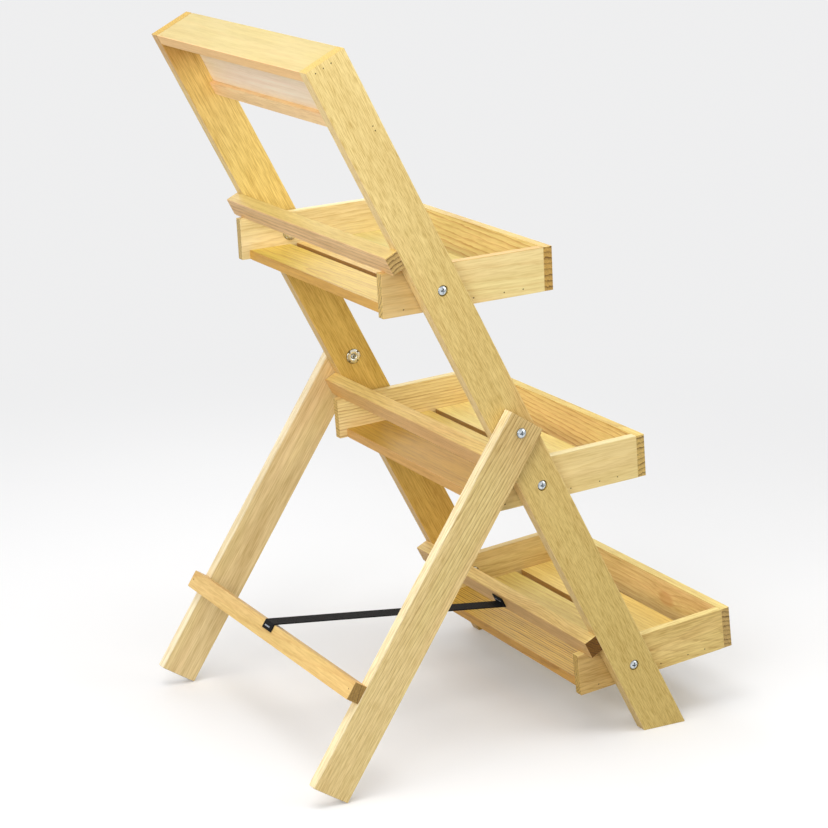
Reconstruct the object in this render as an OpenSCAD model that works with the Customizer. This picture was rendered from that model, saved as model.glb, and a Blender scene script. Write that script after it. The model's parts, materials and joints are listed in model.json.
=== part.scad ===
// Folding plant ladder: two leaning side rails, three swinging trays and a pair of rear legs.
// Units are millimetres. +Z is up, -Y is the front, X runs across the ladder.
// The origin is on the floor, in the middle of the ladder's width and depth.

/* [Side rails] */
// Width over the outer faces of the two side rails
ladder_w = 346; // [300:1:420]
// Length of a side rail along its rear edge
rail_len = 755; // [740:1:820]
// Width of a side rail, front edge to rear edge
rail_w = 42; // [40:0.5:50]
// Thickness of a side rail
rail_t = 13; // [12:0.5:18]
// Lean of the rails away from upright, in degrees
rail_lean = 27.3; // [24:0.1:30]

/* [Head] */
// Thickness of the flat board across the top of the rails
top_board_t = 10; // [8:0.5:16]
// Thickness of the upright panel under the top board
panel_t = 13; // [9:0.5:16]
// Height of the upright panel, measured along the rails
panel_h = 58.5; // [40:0.5:70]
// Depth of the batten under the panel, front to rear
batten_d = 17.5; // [14:0.5:24]
// Height of the batten, measured along the rails
batten_h = 13.5; // [10:0.5:18]

/* [Stop bars] */
// Height of a stop bar and of the rear crossbar, along the rail or leg
bar_h = 18; // [14:0.5:22]
// Depth of a stop bar and of the rear crossbar
bar_d = 13.5; // [10:0.5:18]

/* [Trays] */
// Height of a tray's sides and front
tray_h = 41.6; // [32:0.2:42]
// Thickness of the boards and slats of a tray
tray_t = 9; // [8:0.5:10]
// Reach of a tray's sides in front of its pivot
tray_reach = 114; // [106:1:122]
// Reach of a tray's sides behind its pivot
tray_tail = 54; // [50:1:58]
// Width of a bottom slat
slat_w = 45; // [36:0.5:46]
// Gap between two bottom slats
slat_gap = 7; // [5:0.5:10]
// Distance from the rear end of a tray's sides to its rear slat
slat_inset = 8.5; // [2:0.5:14]
// Space between a tray's side and the rail beside it
tray_side_gap = 2; // [1.8:0.1:3]
// Distance along the rail from the floor to the lowest tray's pivot
lowest_pivot = 67.8; // [66:0.1:76]
// Distance along the rail from one tray's pivot to the next
pivot_pitch = 222.8; // [215:0.1:226]
// Distance from a rail's rear edge to the tray pivots
pivot_inset = 21.6; // [21.3:0.1:24]
// Tilt of the top tray at rest, front up, in degrees
tray_1_tilt = 2; // [0:0.1:6]
// Tilt of the middle tray at rest, front up, in degrees
tray_2_tilt = 3.6; // [0:0.1:6]
// Tilt of the bottom tray at rest, front up, in degrees
tray_3_tilt = 6; // [2:0.1:7]

/* [Rear legs] */
// Width of a rear leg
leg_w = 40; // [34:0.5:42]
// Thickness of a rear leg
leg_t = 11; // [9:0.5:16]
// Slope of the open rear legs away from upright, in degrees
leg_slope = 32.8; // [30:0.1:35]
// Distance along the rail from the floor to the leg pivot
leg_pivot = 356; // [345:1:370]
// Distance from a rail's rear edge to the leg pivot
leg_pivot_inset = 21.6; // [21:0.1:23]
// Length of a leg above its pivot
leg_head = 13; // [11:0.5:20]
// Space between a leg and the rail beside it
leg_gap = 1; // [0.8:0.1:1.5]
// Distance from the bottom end of a leg up to the rear crossbar
crossbar_up = 86.5; // [80:0.5:95]

/* [Check strap] */
// Width of the webbing strap that stops the legs opening
strap_w = 20; // [12:1:30]
// Thickness of the webbing
strap_t = 1.2; // [0.8:0.1:2]
// Length of webbing stapled down the lowest stop bar
strap_front_tab = 11; // [8:0.5:13]
// Length of webbing stapled down the rear crossbar
strap_rear_tab = 8; // [7:0.5:14]
// Distance from the lower edge of the stop bar to where the webbing leaves it
strap_drop = 3; // [2:0.5:4]
// Width of a staple
staple_w = 10; // [8:0.5:11]
// Thickness of a staple's wire
staple_t = 0.7; // [0.5:0.1:1]
// Depth that a staple's ends reach into the wood
staple_depth = 6; // [4:0.5:8]

/* [Pivot bolts] */
// Diameter of a pivot bolt
bolt_d = 5; // [4:0.1:6]
// Diameter of a bolt's head
bolt_head_d = 9.5; // [8:0.5:12]
// Height of a bolt's head
bolt_head_h = 3; // [2.4:0.1:4]
// Radial clearance of a bolt in the wood that turns on it
bolt_play = 0.08; // [0.02:0.02:0.1]
// Clearance under a bolt's head
head_gap = 0.3; // [0.2:0.1:0.6]
// Height that a tray bolt's head stands out of its sinking in the rail, less than the leg's space
head_proud = 0.5; // [0:0.1:0.5]
// Space round a tray bolt's head in its sinking
sinking_gap = 0.5; // [0.4:0.1:1]
// Diameter of a tee nut's flange
nut_flange_d = 15; // [12:0.5:18]
// Thickness of a tee nut's flange
nut_flange_t = 1.2; // [1:0.1:1.4]
// Outer diameter of a tee nut's barrel
nut_barrel_d = 6.8; // [6.6:0.1:8]
// Length of a tee nut's barrel
nut_barrel_len = 7; // [5:0.5:7.5]
// Length of the prongs that bite into the wood
nut_prong_len = 5; // [3:0.5:6]

/* [Nails] */
// Diameter of a finishing nail
nail_d = 1.4; // [1:0.1:2]
// Length of a finishing nail
nail_len = 25; // [20:1:28]
// Depth of a nail's head below the face of the wood
nail_sink = 0.6; // [0.3:0.1:1]
// Distance of a nail from the middle of the slat that it holds
nail_spread = 10; // [6:0.5:14]

/* [Hidden] */

// Segments of the round parts
bolt_facets = 48;
nail_facets = 16;
// Overlap that keeps cuts clean
cut_over = 1;
// Clearance between a tray and the stop bar that it rests on
stop_gap = 0.3;

pine = [0.86, 0.72, 0.42];
pine_pale = [0.90, 0.78, 0.60];
pine_deep = [0.78, 0.62, 0.34];
zinc = [0.78, 0.79, 0.80];
steel = [0.55, 0.55, 0.56];
webbing = [0.06, 0.06, 0.07];

rail_x = ladder_w / 2;
rail_inner_x = rail_x - rail_t;
tray_x = rail_inner_x - tray_side_gap;
tray_inner_x = tray_x - tray_t;
leg_inner_x = rail_x + leg_gap;
leg_x = leg_inner_x + leg_t;
tray_front_y = -tray_reach - tray_t;
tray_floor_z = -tray_h / 2;

tray_tilts = [tray_1_tilt, tray_2_tilt, tray_3_tilt];

// Distance of tray i's pivot along the rail, counted from the top tray
function tray_pivot(i) = lowest_pivot + (3 - i) * pivot_pitch;

// A stop bar sits where its lower rear edge meets the top edge of the tilted tray
function bar_offset(i) =
  (tray_h / 2 + stop_gap + (bar_d + pivot_inset) * sin(rail_lean - tray_tilts[i - 1]))
  / cos(rail_lean - tray_tilts[i - 1]);
function bar_pos(i) = tray_pivot(i) + bar_offset(i);

// Depth of the sinkings for the tray bolts' heads
sinking_depth = head_gap + bolt_head_h - head_proud;

// Points given along a rail and behind its rear edge, as [Y, Z] from the rail's rear foot
function rail_yz(along, behind) = [
  along * sin(rail_lean) + behind * cos(rail_lean),
  along * cos(rail_lean) - behind * sin(rail_lean)
];

leg_pivot_yz = rail_yz(leg_pivot, -leg_pivot_inset);
// Length of a leg below its pivot, so that its front lower edge stands on the floor
leg_reach = (leg_pivot_yz[1] - leg_w / 2 * sin(leg_slope)) / cos(leg_slope);
// Points given down an open leg and behind its middle line, as [Y, Z] from the rail's rear foot
function leg_yz(down, behind) = leg_pivot_yz + [
  down * sin(leg_slope) + behind * cos(leg_slope),
  -down * cos(leg_slope) + behind * sin(leg_slope)
];
crossbar_down = leg_reach - crossbar_up - bar_h;

// The ladder is centred front to rear on the floor
low_front_y = rail_yz(tray_pivot(3), -pivot_inset)[0]
  + tray_front_y * cos(tray_3_tilt) + tray_floor_z * sin(tray_3_tilt);
far_rear_y = leg_yz(leg_reach, leg_w / 2)[0];
foot_y = -(low_front_y + far_rear_y) / 2;

// Slats are counted from the rear of a tray
function slat_rear_y(k) = tray_tail - slat_inset - k * (slat_w + slat_gap);
function slat_mid_y(k) = slat_rear_y(k) - slat_w / 2;
front_nail_z = tray_h / 4;

// Heads of the rails
panel_z = rail_len - top_board_t - panel_h;
batten_z = panel_z - batten_h;
head_len = 2 * rail_inner_x;

// Prongs stand evenly round a tee nut's flange
prong_count = 4;
prong_w = 2.4;
prong_t = 1;
// Distance of a prong from the rim of the flange
prong_inset = 0.6;

// Shares of a bolt's head: the dome's drop, and the width, length and depth of the cross recess
dome_share = 0.55;
recess_shares = [0.13, 0.52, 0.5];

// Places of the head nails across a rail and up the batten, as shares of each
head_nail_shares = [0.2, 0.4, 0.6];
batten_nail_shares = [0.25, 0.6];
// Places of the front and rear staples, as shares of the webbing's tabs
staple_shares = [0.62, 0.55];

// Height of the slat nails above the middle of a slat
slat_nail_lift = 1;
slat_nail_z = tray_floor_z + tray_t / 2 + slat_nail_lift;

// ---------- frames that the pieces are drawn in ----------

// Local +Z runs up the rail and local +Y points behind it, from the rail's rear foot
module on_rail() {
  translate([0, foot_y, 0])
    rotate([-rail_lean, 0, 0])
      children();
}

// Local -Z runs down the open leg and local +Y points behind it, from the leg pivot
module on_leg() {
  translate([0, foot_y + leg_pivot_yz[0], leg_pivot_yz[1]])
    rotate([leg_slope, 0, 0])
      children();
}

// Local +Z stands square to tray i's floor, from its pivot
module on_tray(i) {
  pivot = rail_yz(tray_pivot(i), -pivot_inset);
  translate([0, foot_y + pivot[0], pivot[1]])
    rotate([-tray_tilts[i - 1], 0, 0])
      children();
}

// Copies a piece of the right side to the left
module both_sides() {
  children();
  mirror([1, 0, 0])
    children();
}

// A side profile drawn in Y and Z, standing from x to x + thickness
module slab(x, thickness, points) {
  translate([x, 0, 0])
    rotate([90, 0, 90])
      linear_extrude(height = thickness)
        polygon(points);
}

// ---------- fasteners ----------

// A bolt along X: its head's seat is at x = 0 and its shank runs towards -X
module bolt(shank_len) {
  head_r = bolt_head_d / 2;
  dome_drop = bolt_head_h * dome_share;
  dome_r = (head_r * head_r + dome_drop * dome_drop) / (2 * dome_drop);
  recess_w = bolt_head_d * recess_shares[0];
  recess_len = bolt_head_d * recess_shares[1];
  recess_depth = bolt_head_h * recess_shares[2];
  rotate([0, 90, 0]) {
    difference() {
      intersection() {
        cylinder(d = bolt_head_d, h = bolt_head_h, $fn = bolt_facets);
        translate([0, 0, bolt_head_h - dome_r])
          sphere(r = dome_r, $fn = bolt_facets);
      }
      for (turn = [0, 90])
        rotate([0, 0, turn])
          translate([-recess_len / 2, -recess_w / 2, bolt_head_h - recess_depth])
            cube([recess_len, recess_w, recess_depth + cut_over]);
    }
    translate([0, 0, -shank_len])
      cylinder(d = bolt_d, h = shank_len, $fn = bolt_facets);
  }
}

// A hole for a bolt, from x = 0 towards -X
module bolt_bore(depth, play) {
  translate([-depth - cut_over, 0, 0])
    rotate([0, 90, 0])
      cylinder(d = bolt_d + 2 * play, h = depth + 2 * cut_over, $fn = bolt_facets);
}

// The part of a tee nut that is sunk in the wood: the wood's face is x = 0, the wood is at +X
module nut_body() {
  rotate([0, 90, 0])
    cylinder(d = nut_barrel_d, h = nut_barrel_len, $fn = bolt_facets);
  for (k = [0:prong_count - 1])
    rotate([(k + 0.5) * 360 / prong_count, 0, 0])
      translate([0, -prong_w / 2, nut_flange_d / 2 - prong_t - prong_inset])
        slab_prong();
}

// One pointed prong, along +X
module slab_prong() {
  translate([0, 0, prong_t])
    rotate([-90, 0, 0])
      linear_extrude(height = prong_w)
        polygon([[0, 0], [nut_prong_len, prong_t], [0, prong_t]]);
}

module tee_nut() {
  difference() {
    union() {
      nut_body();
      translate([-nut_flange_t, 0, 0])
        rotate([0, 90, 0])
          cylinder(d = nut_flange_d, h = nut_flange_t, $fn = bolt_facets);
    }
    translate([-nut_flange_t - cut_over, 0, 0])
      rotate([0, 90, 0])
        cylinder(d = bolt_d, h = nut_barrel_len + nut_flange_t + 2 * cut_over, $fn = bolt_facets);
  }
}

// A sunk nail from the face at x = 0 towards -X, and the hole that it leaves
module nail() {
  translate([-nail_len - nail_sink, 0, 0])
    rotate([0, 90, 0])
      cylinder(d = nail_d, h = nail_len, $fn = nail_facets);
}

module nail_hole() {
  translate([-nail_len - nail_sink, 0, 0])
    rotate([0, 90, 0])
      cylinder(d = nail_d, h = nail_len + nail_sink + cut_over, $fn = nail_facets);
}

// A staple whose crown lies along X at z = 0 and whose ends point down
module staple() {
  difference() {
    translate([-staple_w / 2, -staple_t, -strap_t - staple_depth])
      cube([staple_w, 2 * staple_t, strap_t + staple_depth + staple_t]);
    translate([-staple_w / 2 + staple_t, -staple_t - cut_over, -strap_t - staple_depth - cut_over])
      cube([staple_w - 2 * staple_t, 2 * (staple_t + cut_over), strap_t + staple_depth + cut_over]);
  }
}

// ---------- side rails and what is fixed to them ----------

// Places children at the nails that hold the head boards, on the right rail's outer face
module head_nail_places() {
  for (share = head_nail_shares)
    translate([rail_x, -rail_w * share, rail_len - top_board_t / 2])
      children();
  for (share = batten_nail_shares)
    translate([rail_x, -rail_w + batten_d / 2, batten_z + batten_h * share])
      children();
}

// Places children at the nails through the right end of each stop bar, from its rear face
module bar_nail_places() {
  for (i = [1:3])
    translate([rail_x - rail_t / 2, bar_d, bar_pos(i) + bar_h / 2])
      rotate([0, 0, 90])
        children();
}

// Bores for the tray bolts, with sinkings that let the folding legs pass over the heads
module rail_pivot_bores() {
  for (i = [1:3])
    translate([rail_x, -pivot_inset, tray_pivot(i)]) {
      bolt_bore(rail_t, bolt_play);
      translate([-sinking_depth, 0, 0])
        rotate([0, 90, 0])
          cylinder(d = bolt_head_d + 2 * sinking_gap, h = sinking_depth + cut_over, $fn = bolt_facets);
    }
}

module leg_nut_place() {
  translate([rail_inner_x, -leg_pivot_inset, leg_pivot])
    children();
}

module rail() {
  foot_drop = rail_w * tan(rail_lean);
  on_rail()
    difference() {
      slab(rail_inner_x, rail_t, [[0, 0], [0, rail_len], [-rail_w, rail_len], [-rail_w, -foot_drop]]);
      rail_pivot_bores();
      leg_nut_place()
        nut_body();
      translate([rail_x, -leg_pivot_inset, leg_pivot])
        bolt_bore(rail_t, bolt_play);
      head_nail_places()
        nail_hole();
      bar_nail_places()
        nail_hole();
    }
}

module rail_right() {
  color(pine)
    rail();
}

module rail_left() {
  color(pine)
    mirror([1, 0, 0])
      rail();
}

// A board nailed between the rails at their front edges, given by its depth, bottom and height
module head_board(depth, bottom, height) {
  on_rail()
    difference() {
      translate([-head_len / 2, -rail_w, bottom])
        cube([head_len, depth, height]);
      both_sides()
        head_nail_places()
          nail_hole();
    }
}

module top_board() {
  color(pine)
    head_board(rail_w, rail_len - top_board_t, top_board_t);
}

module upper_panel() {
  color(pine_pale)
    on_rail()
      translate([-head_len / 2, -rail_w, panel_z])
        cube([head_len, panel_t, panel_h]);
}

module panel_batten() {
  color(pine_pale)
    head_board(batten_d, batten_z, batten_h);
}

// Where the front staple goes through the strap, behind the lowest stop bar
module front_staple_place() {
  translate([0, bar_d + strap_t, bar_pos(3) + strap_drop + strap_front_tab * staple_shares[0]])
    rotate([-90, 0, 0])
      children();
}

module stop_bar(i) {
  color(pine)
    on_rail()
      difference() {
        translate([-rail_x, 0, bar_pos(i)])
          cube([ladder_w, bar_d, bar_h]);
        both_sides()
          bar_nail_places()
            nail_hole();
        if (i == 3)
          front_staple_place()
            staple();
      }
}

module leg_bolts() {
  shank = head_gap + leg_t + leg_gap + rail_t + nut_flange_t;
  color(zinc)
    on_rail()
      both_sides()
        translate([leg_x + head_gap, -leg_pivot_inset, leg_pivot])
          bolt(shank);
}

module leg_tee_nuts() {
  color(zinc)
    on_rail()
      both_sides()
        leg_nut_place()
          tee_nut();
}

module frame_nails() {
  color(steel)
    on_rail()
      both_sides() {
        head_nail_places()
          nail();
        bar_nail_places()
          nail();
      }
}

// ---------- rear legs ----------

module crossbar_nail_places() {
  translate([leg_inner_x + leg_t / 2, leg_w / 2 + bar_d, -crossbar_down - bar_h / 2])
    rotate([0, 0, 90])
      children();
}

module rear_leg() {
  on_leg()
    difference() {
      translate([leg_inner_x, -leg_w / 2, -leg_reach])
        cube([leg_t, leg_w, leg_reach + leg_head]);
      translate([leg_x, 0, 0])
        bolt_bore(leg_t, bolt_play);
      crossbar_nail_places()
        nail_hole();
    }
}

module rear_leg_right() {
  color(pine)
    rear_leg();
}

module rear_leg_left() {
  color(pine)
    mirror([1, 0, 0])
      rear_leg();
}

// Where the rear staple goes through the strap, behind the crossbar
module rear_staple_place() {
  translate([0, leg_w / 2 + bar_d + strap_t, -crossbar_down - strap_rear_tab * staple_shares[1]])
    rotate([-90, 0, 0])
      children();
}

module rear_crossbar() {
  color(pine)
    on_leg()
      difference() {
        translate([-leg_x, leg_w / 2, -crossbar_down - bar_h])
          cube([2 * leg_x, bar_d, bar_h]);
        both_sides()
          crossbar_nail_places()
            nail_hole();
        rear_staple_place()
          staple();
      }
}

module crossbar_nails() {
  color(steel)
    on_leg()
      both_sides()
        crossbar_nail_places()
          nail();
}

// ---------- check strap ----------

// A flat stretch of webbing from one point to another in the Y and Z plane, its outer face on the line
module strap_run(from, to) {
  run = to - from;
  translate(from)
    rotate([0, 0, atan2(run[1], run[0])])
      square([norm(run), strap_t]);
}

// The strap lies on the rear face of the lowest stop bar, spans to the crossbar and turns down over it
module check_strap() {
  leave = rail_yz(bar_pos(3) + strap_drop, bar_d);
  front_end = rail_yz(bar_pos(3) + strap_drop + strap_front_tab, bar_d);
  turn = leg_yz(crossbar_down, leg_w / 2 + bar_d);
  rear_end = leg_yz(crossbar_down + strap_rear_tab, leg_w / 2 + bar_d);
  color(webbing)
    difference() {
      translate([-strap_w / 2, foot_y, 0])
        rotate([90, 0, 90])
          linear_extrude(height = strap_w) {
            strap_run(front_end, leave);
            strap_run(leave, turn);
            strap_run(turn, rear_end);
            translate(turn)
              circle(r = strap_t, $fn = bolt_facets);
          }
      on_rail()
        translate([-rail_x, 0, bar_pos(3)])
          cube([ladder_w, bar_d, bar_h]);
      on_leg()
        translate([-leg_x, leg_w / 2, -crossbar_down - bar_h])
          cube([2 * leg_x, bar_d, bar_h]);
      on_rail()
        front_staple_place()
          staple();
      on_leg()
        rear_staple_place()
          staple();
    }
}

module front_staple() {
  color(steel)
    on_rail()
      front_staple_place()
        staple();
}

module rear_staple() {
  color(steel)
    on_leg()
      rear_staple_place()
        staple();
}

// ---------- trays ----------

// Places children at the nails that hold the slats, on the right side board's outer face
module slat_nail_places() {
  for (k = [0:2])
    for (side = [-1, 1])
      translate([tray_x, slat_mid_y(k) + side * nail_spread, slat_nail_z])
        children();
}

// Places children at the nails through the front board into the right side board's end
module front_nail_places() {
  for (side = [-1, 1])
    translate([tray_x - tray_t / 2, tray_front_y, side * front_nail_z])
      rotate([0, 0, -90])
        children();
}

module tray_nut_place() {
  translate([tray_inner_x, 0, 0])
    children();
}

module tray_side() {
  difference() {
    translate([tray_inner_x, -tray_reach, tray_floor_z])
      cube([tray_t, tray_reach + tray_tail, tray_h]);
    tray_nut_place()
      nut_body();
    translate([tray_x, 0, 0])
      bolt_bore(tray_t, bolt_play);
    slat_nail_places()
      nail_hole();
    front_nail_places()
      nail_hole();
  }
}

module tray_side_right(i) {
  color(pine)
    on_tray(i)
      tray_side();
}

module tray_side_left(i) {
  color(pine)
    on_tray(i)
      mirror([1, 0, 0])
        tray_side();
}

module tray_front(i) {
  color(pine)
    on_tray(i)
      difference() {
        translate([-tray_x, tray_front_y, tray_floor_z])
          cube([2 * tray_x, tray_t, tray_h]);
        both_sides()
          front_nail_places()
            nail_hole();
      }
}

// Slat k of tray i, counted from the rear
module tray_slat(i, k) {
  color(pine_deep)
    on_tray(i)
      difference() {
        translate([-tray_inner_x, slat_rear_y(k) - slat_w, tray_floor_z])
          cube([2 * tray_inner_x, slat_w, tray_t]);
        both_sides()
          slat_nail_places()
            nail_hole();
      }
}

module tray_bolts(i) {
  head_seat = rail_x - sinking_depth + head_gap;
  color(zinc)
    on_tray(i)
      both_sides()
        translate([head_seat, 0, 0])
          bolt(head_seat - tray_inner_x + nut_flange_t);
}

module tray_tee_nuts(i) {
  color(zinc)
    on_tray(i)
      both_sides()
        tray_nut_place()
          tee_nut();
}

module tray_nails(i) {
  color(steel)
    on_tray(i)
      both_sides() {
        slat_nail_places()
          nail();
        front_nail_places()
          nail();
      }
}

// ---------- the pieces ----------

rail_left();
rail_right();
top_board();
upper_panel();
panel_batten();
stop_bar(1);  // stop_bar_1
stop_bar(2);  // stop_bar_2
stop_bar(3);  // stop_bar_3
leg_bolts();
leg_tee_nuts();
frame_nails();
check_strap();
front_staple();
rear_leg_left();
rear_leg_right();
rear_crossbar();
crossbar_nails();
rear_staple();
tray_side_left(1);  // tray_1_side_left
tray_side_right(1);  // tray_1_side_right
tray_front(1);  // tray_1_front
tray_slat(1, 0);  // tray_1_slat_rear
tray_slat(1, 1);  // tray_1_slat_middle
tray_slat(1, 2);  // tray_1_slat_front
tray_bolts(1);  // tray_1_bolts
tray_tee_nuts(1);  // tray_1_tee_nuts
tray_nails(1);  // tray_1_nails
tray_side_left(2);  // tray_2_side_left
tray_side_right(2);  // tray_2_side_right
tray_front(2);  // tray_2_front
tray_slat(2, 0);  // tray_2_slat_rear
tray_slat(2, 1);  // tray_2_slat_middle
tray_slat(2, 2);  // tray_2_slat_front
tray_bolts(2);  // tray_2_bolts
tray_tee_nuts(2);  // tray_2_tee_nuts
tray_nails(2);  // tray_2_nails
tray_side_left(3);  // tray_3_side_left
tray_side_right(3);  // tray_3_side_right
tray_front(3);  // tray_3_front
tray_slat(3, 0);  // tray_3_slat_rear
tray_slat(3, 1);  // tray_3_slat_middle
tray_slat(3, 2);  // tray_3_slat_front
tray_bolts(3);  // tray_3_bolts
tray_tee_nuts(3);  // tray_3_tee_nuts
tray_nails(3);  // tray_3_nails
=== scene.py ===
"""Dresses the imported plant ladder.

Each board keeps the shape of its CAD node, with eased and slightly worn arrises and its own varnished pine.
The bolts, tee nuts and strap are rebuilt in more detail, and a pale studio stands around them. Lengths are in
metres, and in millimetres where a comment says so.
"""

import json
import math
from functools import cached_property

import bmesh
import bpy
from mathutils import Matrix, Vector, noise

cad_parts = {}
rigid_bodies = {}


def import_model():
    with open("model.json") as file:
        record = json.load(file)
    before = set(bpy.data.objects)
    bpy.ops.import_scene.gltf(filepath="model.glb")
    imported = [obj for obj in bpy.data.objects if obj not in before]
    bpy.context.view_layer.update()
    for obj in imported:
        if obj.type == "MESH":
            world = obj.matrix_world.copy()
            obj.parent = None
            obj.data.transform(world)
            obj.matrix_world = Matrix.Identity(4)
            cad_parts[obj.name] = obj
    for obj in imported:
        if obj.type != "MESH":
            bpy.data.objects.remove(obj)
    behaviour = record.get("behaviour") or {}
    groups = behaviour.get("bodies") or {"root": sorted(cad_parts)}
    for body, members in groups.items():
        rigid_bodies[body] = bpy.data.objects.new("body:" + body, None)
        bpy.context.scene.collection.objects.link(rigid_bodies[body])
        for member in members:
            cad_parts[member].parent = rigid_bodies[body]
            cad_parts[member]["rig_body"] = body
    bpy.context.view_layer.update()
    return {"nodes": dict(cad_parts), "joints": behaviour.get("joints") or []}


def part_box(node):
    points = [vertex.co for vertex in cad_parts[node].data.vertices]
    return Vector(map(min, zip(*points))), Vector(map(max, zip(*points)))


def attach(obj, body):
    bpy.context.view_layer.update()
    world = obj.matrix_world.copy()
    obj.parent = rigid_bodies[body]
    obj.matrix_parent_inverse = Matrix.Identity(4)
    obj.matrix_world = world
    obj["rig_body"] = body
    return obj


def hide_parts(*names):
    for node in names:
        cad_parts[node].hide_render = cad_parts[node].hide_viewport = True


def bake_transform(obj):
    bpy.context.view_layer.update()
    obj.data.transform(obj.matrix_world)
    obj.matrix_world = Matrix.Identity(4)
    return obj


for old in list(bpy.data.objects):
    bpy.data.objects.remove(old)

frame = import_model()
nodes = frame["nodes"]
MM = 0.001

# ---------- the ladder's directions and places, as in part.scad ----------

LEAN, SLOPE = math.radians(27.3), math.radians(32.8)  # of the rails and of the legs, from upright
TILTS = {1: math.radians(2.0), 2: math.radians(3.6), 3: math.radians(6.0)}  # of the trays, down to the rear
X = Vector((1, 0, 0))
UP_RAIL = Vector((0, math.sin(LEAN), math.cos(LEAN)))
BEHIND_RAIL = Vector((0, math.cos(LEAN), -math.sin(LEAN)))
DOWN_LEG = Vector((0, math.sin(SLOPE), -math.cos(SLOPE)))
BEHIND_LEG = Vector((0, math.cos(SLOPE), math.sin(SLOPE)))
STRAP_LEAVES = Vector((0, -0.064654, 0.089007))  # the lower rear corner of the lowest stop bar
STRAP_TURNS = Vector((0, 0.193124, 0.116821))  # the upper rear corner of the crossbar
PIVOTS = {j["name"]: Vector(j["pos_m"]) for j in frame["joints"]}


def tray_axes(number):
    """A tray's direction to the rear and its own upright."""
    t = TILTS[number]
    return Vector((0, math.cos(t), -math.sin(t))), Vector((0, math.sin(t), math.cos(t)))


def smooth(value):
    """Eases a value between 0 and 1 in and out."""
    value = min(max(value, 0.0), 1.0)
    return value * value * (3 - 2 * value)


def put_in_scene(name, data):
    made = bpy.data.objects.new(name, data)
    bpy.context.scene.collection.objects.link(made)
    return made


# ---------- camera, solved from the photo together with the object's sizes ----------

CAMERA_PLACE = (-2.17156, 1.16265, 0.96759)
YAW, PITCH, ROLL = math.radians(242.4983), math.radians(15.1769), math.radians(-1.0706)
LENS_MM, SENSOR_MM = 112.631, 36


def make_camera():
    back = Vector((math.sin(YAW) * math.cos(PITCH), -math.cos(YAW) * math.cos(PITCH), math.sin(PITCH)))
    side = Vector((math.cos(YAW), math.sin(YAW), 0))
    above = back.cross(side)
    right = math.cos(ROLL) * side + math.sin(ROLL) * above
    up = -math.sin(ROLL) * side + math.cos(ROLL) * above
    data = bpy.data.cameras.new("camera")
    data.lens, data.sensor_width, data.sensor_fit = LENS_MM, SENSOR_MM, "HORIZONTAL"
    data.clip_start, data.clip_end = 0.05, 50
    place = Matrix((right, up, back)).transposed().to_4x4()
    place.translation = CAMERA_PLACE
    camera = put_in_scene("camera", data)
    camera.matrix_world = place
    bpy.context.scene.camera = camera


make_camera()

# ---------- node trees ----------


def lin(r, g, b):
    """A colour given in display values from 0 to 255, as linear RGBA."""
    c = [v / 255 for v in (r, g, b)]
    return tuple(v / 12.92 if v <= 0.04045 else ((v + 0.055) / 1.055) ** 2.4 for v in c) + (1.0,)


def shade(colour, r, g, b):
    return (colour[0] * r, colour[1] * g, colour[2] * b, 1.0)


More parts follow.
